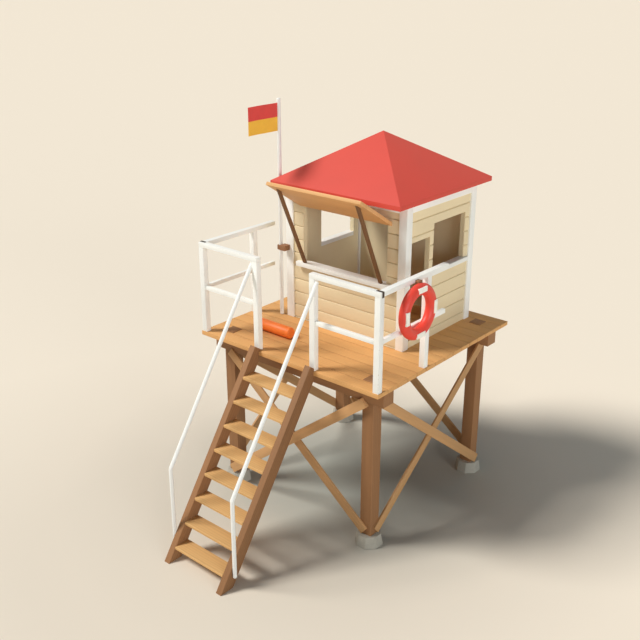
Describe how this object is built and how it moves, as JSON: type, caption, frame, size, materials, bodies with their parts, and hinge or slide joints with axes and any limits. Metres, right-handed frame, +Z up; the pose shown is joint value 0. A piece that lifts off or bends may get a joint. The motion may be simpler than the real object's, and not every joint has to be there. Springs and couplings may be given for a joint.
{
  "type": "lifeguard tower",
  "caption": "Timber lifeguard tower: small hut with a pyramid roof on a braced platform, front stair with handrails, guard rail, propped shutter, flagpole, life ring and rescue tube.",
  "frame": {"origin": "centre of the footprint at ground level, under the footings", "axes": "+Z up; +Y from the stair towards the back of the hut; +X towards the side with the doorway and the life ring"},
  "size_m": [3.1222, 4.756, 5.36],
  "materials": {
    "concrete": "cast concrete, matt",
    "timber": "brown weathered timber, matt",
    "brace_timber": "light brown timber, matt",
    "deck_timber": "warm planed boards, satin",
    "white_paint": "white painted timber, satin",
    "white_metal": "white painted tube, satin",
    "dark_steel": "dark steel, matt",
    "cladding": "sand-coloured painted boards, matt",
    "roof_red": "red painted roof, satin",
    "shutter_timber": "brown timber, satin",
    "flag_cloth": "red over yellow cloth",
    "ring_red": "red shell, satin",
    "ring_white": "white pads, matt",
    "tube_orange": "orange foam, satin"
  },
  "bodies": {
    "root": {"footings": "concrete", "leg_front_left": "timber", "leg_front_right": "timber", "leg_back_left": "timber", "leg_back_right": "timber", "front_beam": "timber", "back_beam": "timber", "joists": "timber", "stringer_left": "timber", "stringer_right": "timber", "inner_braces": "brace_timber", "outer_braces": "brace_timber", "brace_packers": "brace_timber", "deck": "deck_timber", "tread_1": "deck_timber", "tread_2": "deck_timber", "tread_3": "deck_timber", "tread_4": "deck_timber", "tread_5": "deck_timber", "tread_6": "deck_timber", "tread_7": "deck_timber", "tread_8": "deck_timber", "rail_posts": "white_paint", "front_top_rails": "white_paint", "side_top_rails": "white_paint", "mid_rails": "white_paint", "hut_posts": "white_paint", "wall_plates": "white_paint", "front_sill": "white_paint", "side_sills": "white_paint", "handrails": "white_metal", "flagpole": "white_metal", "corner_straps": "dark_steel", "front_wall": "cladding", "back_wall": "cladding", "left_wall": "cladding", "right_wall": "cladding", "roof": "roof_red", "shutter": "shutter_timber", "shutter_struts": "shutter_timber", "pole_bracket": "shutter_timber", "ring_peg": "shutter_timber", "flag": "flag_cloth", "life_ring": "ring_red", "ring_pads": "ring_white", "rescue_tube": "tube_orange"}
  },
  "joints": []
}
